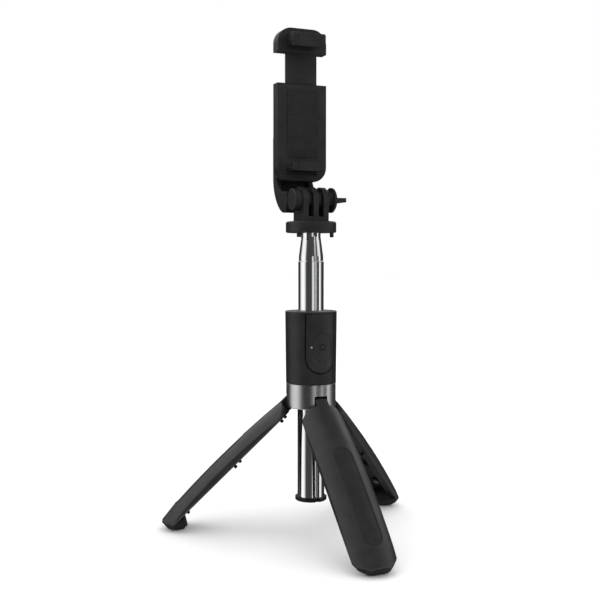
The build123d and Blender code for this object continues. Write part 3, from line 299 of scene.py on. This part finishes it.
materials = {
    "black_plastic": moulded_plastic("black_plastic", (0.0115, 0.0115, 0.012), 0.44, 0.2, 0.3),
    "leg_plastic": moulded_plastic(
        "leg_plastic", (0.0145, 0.0145, 0.015), 0.4, 0.2, 0.5, edge=0.0005
    ),
    "remote_plastic": moulded_plastic("remote_plastic", (0.0135, 0.0135, 0.014), 0.4, 0.18, 0.35),
    "grey_plastic": capped_plastic(),
    "chrome": drawn_metal("chrome", (0.86, 0.865, 0.87), 0.025, (9000, 9000, 60), 0.008, 0.02),
    "brushed_collar": drawn_metal(
        "brushed_collar", (0.56, 0.56, 0.565), 0.24, (80, 80, 16000), 0.35, 0.06
    ),
    "zinc_steel": drawn_metal(
        "zinc_steel", (0.62, 0.62, 0.63), 0.25, (2500, 2500, 2500), 0.15, 0.12
    ),
    "cell_steel": drawn_metal("cell_steel", (0.7, 0.7, 0.69), 0.22, (9000, 300, 300), 0.12, 0.1),
    "bronze": drawn_metal("bronze", (0.62, 0.42, 0.2), 0.3, (3000, 3000, 400), 0.2, 0.15),
    "black_rubber": soft_rubber("black_rubber", (0.012, 0.012, 0.012)),
    "board": circuit_board(),
    "led": clear_lens(),
}
grip_rubber = soft_rubber("grip_rubber", (0.0125, 0.0125, 0.0128), 0.5, 0.06)
icon_ink = moulded_plastic("icon_ink", (0.004, 0.004, 0.0042), 0.5, 0.1, 0.15, wear=0.0)
# Darker copy of the leg plastic: painted shade for the shadowed insides of the leg frames, also used on the tube
# end caps
frame_plastic = moulded_plastic("frame_plastic", (0.0052, 0.0052, 0.0054), 0.52, 0.22, 0.22)
blackened_steel = drawn_metal(
    "blackened_steel", (0.16, 0.16, 0.165), 0.34, (2500, 2500, 2500), 0.15, 0.1
)

for part in frame["record"]["subparts"]:
    mesh = frame["nodes"][part["node"]].data
    mesh.materials.clear()
    # Leg frames and tube end caps take the darker plastic that paints their shade
    if part["node"].startswith(("leg_frame", "tube_end_cap")):
        mesh.materials.append(frame_plastic)
    elif part["node"].startswith(("leg_screws", "lower_jaw_pin", "upper_jaw_pin")):
        mesh.materials.append(blackened_steel)
    else:
        mesh.materials.append(materials[part["material_slot"]])


# ---- Added detail -----------------------------------------------------------


def surface_of(node):
    """Search tree over a CAD node's surface."""
    mesh = frame["nodes"][node].data
    points = [v.co.copy() for v in mesh.vertices]
    return BVHTree.FromPolygons(points, [list(p.vertices) for p in mesh.polygons])


def finished(name, mesh, material, body, smooth=True):
    """An object from a bmesh, in place, riding on a body."""
    data = bpy.data.meshes.new(name)
    bmesh.ops.recalc_face_normals(mesh, faces=mesh.faces)
    mesh.to_mesh(data)
    mesh.free()
    for polygon in data.polygons:
        polygon.use_smooth = smooth
    data.materials.append(material)
    piece = bpy.data.objects.new(name, data)
    scene.collection.objects.link(piece)
    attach(piece, body)
    return piece


def ring_on_surface(name, tree, centre, inner, outer, lift, material, body):
    """Flat ring that follows the surface it is set in, seen from the front."""
    mesh = bmesh.new()
    steps, rows = 64, 5
    loops = []
    for row in range(rows):
        share = row / (rows - 1)
        radius = inner + share * (outer - inner)
        rise = lift * sin(pi * share) - 0.02 * MM
        loop = []
        for step in range(steps):
            angle = 2 * pi * step / steps
            x = centre.x + radius * cos(angle)
            z = centre.z + radius * sin(angle)
            hit, normal, _, _ = tree.ray_cast(Vector((x, centre.y - 0.01, z)), Vector((0, 1, 0)))
            loop.append(mesh.verts.new(hit + rise * normal))
        loops.append(loop)
    for first, second in zip(loops, loops[1:]):
        for step in range(steps):
            after = (step + 1) % steps
            mesh.faces.new((first[step], first[after], second[after], second[step]))
    return finished(name, mesh, material, body)


button_low, button_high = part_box("shutter_button")
button_centre = (button_low + button_high) / 2
button_centre.y = button_low.y
ring_on_surface(
    "button_ring", surface_of("shutter_button"), button_centre,
    1.3 * MM, 2.1 * MM, 0.05 * MM, icon_ink, "button",
)

# Rubber grips set in the legs' outer hollows. They are laid out with the leg folded against
# the pole, where the hinge is at (hinge circle, 0, 0), and carried to the open leg.
GRIP_MIDDLE = -66.5 * MM
GRIP_HALF_LENGTH = 61.0 / 2 * MM
GRIP_HALF_WIDTH = 11.2 / 2 * MM
# (distance in from the hollow's edge, rise above the surface below), both in mm: the back, let
# into the shell, from its middle out, then a raised bead over the edge and the sunken front
GRIP_ROWS = (
    (5.0, -0.15), (3.2, -0.15), (1.5, -0.15), (0.1, -0.15), (-0.1, -0.3), (-0.5, -0.3),
    (-0.5, -0.04), (-0.4, 0.06), (-0.25, 0.14), (-0.1, 0.17), (0.1, 0.97), (0.25, 0.92),
    (0.4, 0.82), (0.6, 0.68), (0.9, 0.62), (1.5, 0.6), (2.2, 0.6), (3.2, 0.6), (4.2, 0.6),
    (5.0, 0.6),
)
GRIP_ARC_STEPS = 14
GRIP_MAX_STEP = 2.0 * MM
STRAIGHT_WITHIN = 0.2 * MM
OPEN_ANGLE = radians(45)
OUTSIDE = 30 * MM  # from the pole's axis, clear of a folded leg's surface


def grip_outline(inset, steps):
    """Points (across, along) round a grip, drawn in from its edge."""
    radius = GRIP_HALF_WIDTH - inset
    straight = GRIP_HALF_LENGTH - GRIP_HALF_WIDTH
    points = []
    for end, start in ((1, 0.0), (-1, pi)):
        for step in range(steps + 1):
            angle = start + pi * step / steps
            points.append((radius * cos(angle), end * straight + radius * sin(angle)))
    dense = []
    for (x, z), (next_x, next_z) in zip(points, points[1:] + points[:1]):
        straight_run = abs(next_x - x) < STRAIGHT_WITHIN
        parts = max(1, round(abs(next_z - z) / GRIP_MAX_STEP)) if straight_run else 1
        for part in range(parts):
            share = part / parts
            dense.append((x + share * (next_x - x), z + share * (next_z - z)))
    return dense


def leg_stand(joint):
    """Carries a point from the leg folded against the pole to the open leg."""
    hinge = Vector(joint["pos_m"])
    circle = sqrt(hinge.x**2 + hinge.y**2)
    return (
        Matrix.Rotation(atan2(hinge.y, hinge.x), 4, "Z")
        @ Matrix.Translation((circle, 0, hinge.z))
        @ Matrix.Rotation(-OPEN_ANGLE, 4, "Y")
        @ Matrix.Translation((-circle, 0, 0))
    )


def leg_grip(joint):
    """Rubber inlay lying in the hollow of one leg."""
    name = joint["child"].replace("leg_", "")
    stand = leg_stand(joint)
    inward = stand.to_3x3() @ Vector((-1, 0, 0))
    tree = surface_of(f"leg_shell_{name}")
    mesh = bmesh.new()
    loops = []
    for inset, rise in GRIP_ROWS:
        loop = []
        for across, along in grip_outline(inset * MM, GRIP_ARC_STEPS):
            start = stand @ Vector((OUTSIDE, across, GRIP_MIDDLE + along))
            hit, _, _, _ = tree.ray_cast(start, inward)
            loop.append(mesh.verts.new(hit - rise * MM * inward))
        loops.append(loop)
    count = len(loops[0])
    for first, second in zip(loops, loops[1:]):
        for step in range(count):
            after = (step + 1) % count
            mesh.faces.new((first[step], first[after], second[after], second[step]))
    mesh.faces.new(loops[0])
    mesh.faces.new(loops[-1])
    return finished(f"grip_{name}", mesh, grip_rubber, joint["child"])


# Moulded cover over the hinge tab, level with the leg's shell
COVER_LOW = -12.0 * MM
COVER_HIGH = -0.9 * MM
SHOULDER = -5.4 * MM
COVER_HALF_WIDTH = 3.88 * MM
NECK_HALF_WIDTH = 3.78 * MM
COVER_DEPTH = 0.6 * MM
COVER_CORNER = 1.0 * MM
BESIDE_NOTCH = 0.6 * MM  # how far past the notch the shell's radius is measured
BELOW_SHOULDER = 1.0 * MM  # above this the shell's own top edge is too near to measure it
SHARP_ANGLE = radians(40)


def hinge_cover(joint):
    """Curved plate that closes the shell's notch and carries on up as the leg's neck."""
    name = joint["child"].replace("leg_", "")
    stand = leg_stand(joint)
    inward = stand.to_3x3() @ Vector((-1, 0, 0))
    tree = surface_of(f"leg_shell_{name}")
    beside = COVER_HALF_WIDTH + BESIDE_NOTCH
    back = stand.inverted()
    mesh = bmesh.new()
    columns, low_rows, neck_rows = 16, 8, 12
    heights = [COVER_LOW + (SHOULDER - COVER_LOW) * row / low_rows for row in range(low_rows + 1)]
    heights += [
        SHOULDER + (COVER_HIGH - SHOULDER) * row / neck_rows for row in range(1, neck_rows + 1)
    ]
    outer, inner = [], []
    for height in heights:
        if height < SHOULDER - BELOW_SHOULDER:
            hit, _, _, _ = tree.ray_cast(stand @ Vector((OUTSIDE, beside, height)), inward)
            local = back @ hit
            radius = sqrt(local.x**2 + local.y**2)
        half = COVER_HALF_WIDTH if height < SHOULDER else NECK_HALF_WIDTH
        rise = max(0.0, height - (COVER_HIGH - COVER_CORNER))
        half -= COVER_CORNER - sqrt(max(0.0, COVER_CORNER**2 - rise**2))
        for loops, depth in ((outer, 0.0), (inner, COVER_DEPTH)):
            loop = []
            for column in range(columns + 1):
                y = half * (2 * column / columns - 1)
                x = sqrt((radius - depth) ** 2 - y**2)
                loop.append(mesh.verts.new(stand @ Vector((x, y, height))))
            loops.append(loop)
    for loops in (outer, inner):
        for first, second in zip(loops, loops[1:]):
            for step in range(columns):
                mesh.faces.new((first[step], first[step + 1], second[step + 1], second[step]))
    for edge in (
        ([loop[0] for loop in outer], [loop[0] for loop in inner]),
        ([loop[-1] for loop in outer], [loop[-1] for loop in inner]),
        (outer[0], inner[0]),
        (outer[-1], inner[-1]),
    ):
        for step in range(len(edge[0]) - 1):
            mesh.faces.new((edge[0][step], edge[0][step + 1], edge[1][step + 1], edge[1][step]))
    piece = finished(
        f"hinge_cover_{name}", mesh, materials["leg_plastic"], joint["child"]
    )
    piece.data.set_sharp_from_angle(angle=SHARP_ANGLE)


for joint in frame["joints"]:
    if joint["child"].startswith("leg_"):
        leg_grip(joint)
        hinge_cover(joint)


# Ribbed rubber faces for the three pads that touch the phone. Each keeps to the box of the pad
# it replaces: a rounded block whose touching face carries rounded ribs along X.
RIB_PITCH = 1.25 * MM
PAD_EDGE = 0.3 * MM
STEPS_PER_RIB = 10


def ribbed_pad(node, thick, toward, body):
    """The pad's thickness runs along axis number thick; toward is +1 or -1, facing the phone."""
    low, high = (Vector(corner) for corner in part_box(node))
    along = 1 if thick == 2 else 2
    top, base = (high[thick], low[thick]) if toward > 0 else (low[thick], high[thick])
    start, end = low[along], high[along]
    edge = min(PAD_EDGE, 0.4 * abs(top - base))
    flat = end - start - 2 * edge
    ribs = max(3, round(flat / RIB_PITCH))
    quarter = [pi / 2 * step / 4 for step in range(5)]
    outline = [
        (start + edge * (1 - cos(angle)), top - toward * edge * (1 - sin(angle)))
        for angle in quarter
    ]
    for step in range(1, STEPS_PER_RIB * ribs):
        share = step / (STEPS_PER_RIB * ribs)
        sink = edge * (0.5 - 0.5 * cos(2 * pi * ribs * share)) ** 2
        outline.append((start + edge + flat * share, top - toward * sink))
    outline += [
        (end - edge * (1 - cos(angle)), top - toward * edge * (1 - sin(angle)))
        for angle in reversed(quarter)
    ]
    outline += [(end, base), (start, base)]
    mesh = bmesh.new()
    loops = []
    for inset, x in ((edge, low.x), (0, low.x + edge), (0, high.x - edge), (edge, high.x)):
        loop = []
        for side, level in outline:
            point = Vector((x, 0, 0))
            point[along] = min(max(side, start + inset), end - inset)
            point[thick] = base + (level - base) * (1 - inset / abs(top - base))
            loop.append(mesh.verts.new(point))
        loops.append(loop)
    for first, second in zip(loops, loops[1:]):
        for step in range(len(outline)):
            after = (step + 1) % len(outline)
            mesh.faces.new((first[step], first[after], second[after], second[step]))
    mesh.faces.new(loops[0])
    mesh.faces.new(loops[-1])
    piece = finished(
        f"{node}_ribbed", mesh, materials["black_rubber"], body, False
    )
    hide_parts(node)


ribbed_pad("lower_jaw_pad", 2, 1, "clamp")
ribbed_pad("upper_jaw_pad", 2, -1, "jaw")
ribbed_pad("face_pad", 1, -1, "clamp")


# ---- Stage ------------------------------------------------------------------

floor_mesh = bpy.data.meshes.new("floor")
FLOOR_HALF = 6.0
floor_mesh.from_pydata(
    [(-FLOOR_HALF, -FLOOR_HALF, 0), (FLOOR_HALF, -FLOOR_HALF, 0),
     (FLOOR_HALF, FLOOR_HALF, 0), (-FLOOR_HALF, FLOOR_HALF, 0)],
    [], [(0, 1, 2, 3)],
)
floor = bpy.data.objects.new("floor", floor_mesh)
floor_shader = Shader("floor_white")
floor_shader.set(
    Base_Color=floor_shader.mix(floor_shader.noise(6), (0.62, 0.62, 0.62), (0.64, 0.64, 0.64)),
    Roughness=0.9,
    Specular_IOR_Level=0.1,
)
floor_mesh.materials.append(floor_shader.material)
floor.visible_glossy = False
scene.collection.objects.link(floor)

# The room round the stick. Soft light comes from a dome that is brightest overhead. Reflections
# show upright screens: white ones at the sides, dark flags behind and in front, and a ceiling
# whose right half is dark. The camera itself sees plain white.
world = bpy.data.worlds.new("studio")
scene.world = world
world.use_nodes = True
tree = world.node_tree
tree.nodes.clear()


def world_node(kind, **inputs):
    node = tree.nodes.new(kind)
    for name, value in inputs.items():
        node.inputs[name.replace("_", " ")].default_value = value
    return node


def world_maths(operation, first, second=0.0):
    node = tree.nodes.new("ShaderNodeMath")
    node.operation = operation
    for socket, side in zip(node.inputs, (first, second)):
        if isinstance(side, bpy.types.NodeSocket):
            tree.links.new(side, socket)
        else:
            socket.default_value = side
    return node.outputs["Value"]


def step_between(value, low, high, to_low, to_high):
    node = tree.nodes.new("ShaderNodeMapRange")
    node.interpolation_type = "SMOOTHSTEP"
    for socket, number in zip(
        ("From Min", "From Max", "To Min", "To Max"), (low, high, to_low, to_high)
    ):
        node.inputs[socket].default_value = number
    tree.links.new(value, node.inputs["Value"])
    return node.outputs["Result"]


def colour_mix(factor, first, second):
    node = tree.nodes.new("ShaderNodeMix")
    node.data_type = "RGBA"
    tree.links.new(factor, node.inputs["Factor"])
    for socket, side in ((node.inputs[6], first), (node.inputs[7], second)):
        if isinstance(side, bpy.types.NodeSocket):
            tree.links.new(side, socket)
        else:
            socket.default_value = (side, side, side, 1)
    return node.outputs[2]


def screens(bearing, stops):
    """Brightness by bearing: 0 degrees at the camera's side of the stick, 90 at its right."""
    ramp = tree.nodes.new("ShaderNodeValToRGB")
    tree.links.new(bearing, ramp.inputs["Fac"])
    elements = ramp.color_ramp.elements
    for angle, level in stops[1:-1]:
        elements.new(angle / 360 + 0.5).color = (level, level, level, 1)
    for element, level in ((elements[0], stops[0][1]), (elements[-1], stops[-1][1])):
        element.color = (level, level, level, 1)
    return ramp.outputs["Color"]


direction = world_node("ShaderNodeTexCoord").outputs["Generated"]
turned = world_node("ShaderNodeMapping")
turned.vector_type = "POINT"
turned.inputs["Rotation"].default_value = (0, 0, -CAMERA_AZIMUTH)
tree.links.new(direction, turned.inputs["Vector"])
axes = world_node("ShaderNodeSeparateXYZ")
tree.links.new(turned.outputs["Vector"], axes.inputs["Vector"])
height = axes.outputs["Z"]
toward_front = world_maths("MULTIPLY", axes.outputs["Y"], -1.0)
turn = world_maths("ARCTAN2", axes.outputs["X"], toward_front)
bearing = world_maths("ADD", world_maths("DIVIDE", turn, 2 * pi), 0.5)

level_screens = screens(bearing, (
    (-180, 0.04), (-115, 0.04), (-100, 0.95), (-75, 1.2), (-60, 1.0), (-44, 0.07), (-30, 0.055),
    (7, 0.06), (12, 0.75), (22, 0.85), (27, 0.02), (44, 0.02), (49, 0.85), (57, 0.85),
    (61, 0.02), (76, 0.02), (82, 1.2), (94, 0.9), (108, 0.04), (180, 0.04),
))
ceiling = screens(bearing, (
    (-180, 0.6), (-120, 1.2), (-75, 1.0), (-30, 0.15), (140, 0.12), (180, 0.6),
))
above_back = screens(bearing, (
    (-180, 1.0), (-60, 1.0), (-44, 0.06), (40, 0.06), (60, 1.0), (180, 1.0),
))
low = colour_mix(step_between(height, 0.14, 0.28, 0, 1), level_screens, above_back)
whole = colour_mix(step_between(height, 0.5, 0.7, 0, 1), low, ceiling)
reflected = colour_mix(step_between(height, -0.75, -0.4, 1, 0), whole, 0.5)
dome = colour_mix(step_between(height, 0.0, 0.5, 0, 1), 1.1, 2.2)

light_path = world_node("ShaderNodeLightPath")
shown = colour_mix(light_path.outputs["Is Diffuse Ray"], reflected, dome)
lit = world_node("ShaderNodeBackground")
tree.links.new(shown, lit.inputs["Color"])
seen = world_node("ShaderNodeBackground", Color=(1, 1, 1, 1), Strength=1.0)
choice = tree.nodes.new("ShaderNodeMixShader")
tree.links.new(light_path.outputs["Is Camera Ray"], choice.inputs["Fac"])
tree.links.new(lit.outputs["Background"], choice.inputs[1])
tree.links.new(seen.outputs["Background"], choice.inputs[2])
world_output = tree.nodes.new("ShaderNodeOutputWorld")
tree.links.new(choice.outputs["Shader"], world_output.inputs["Surface"])
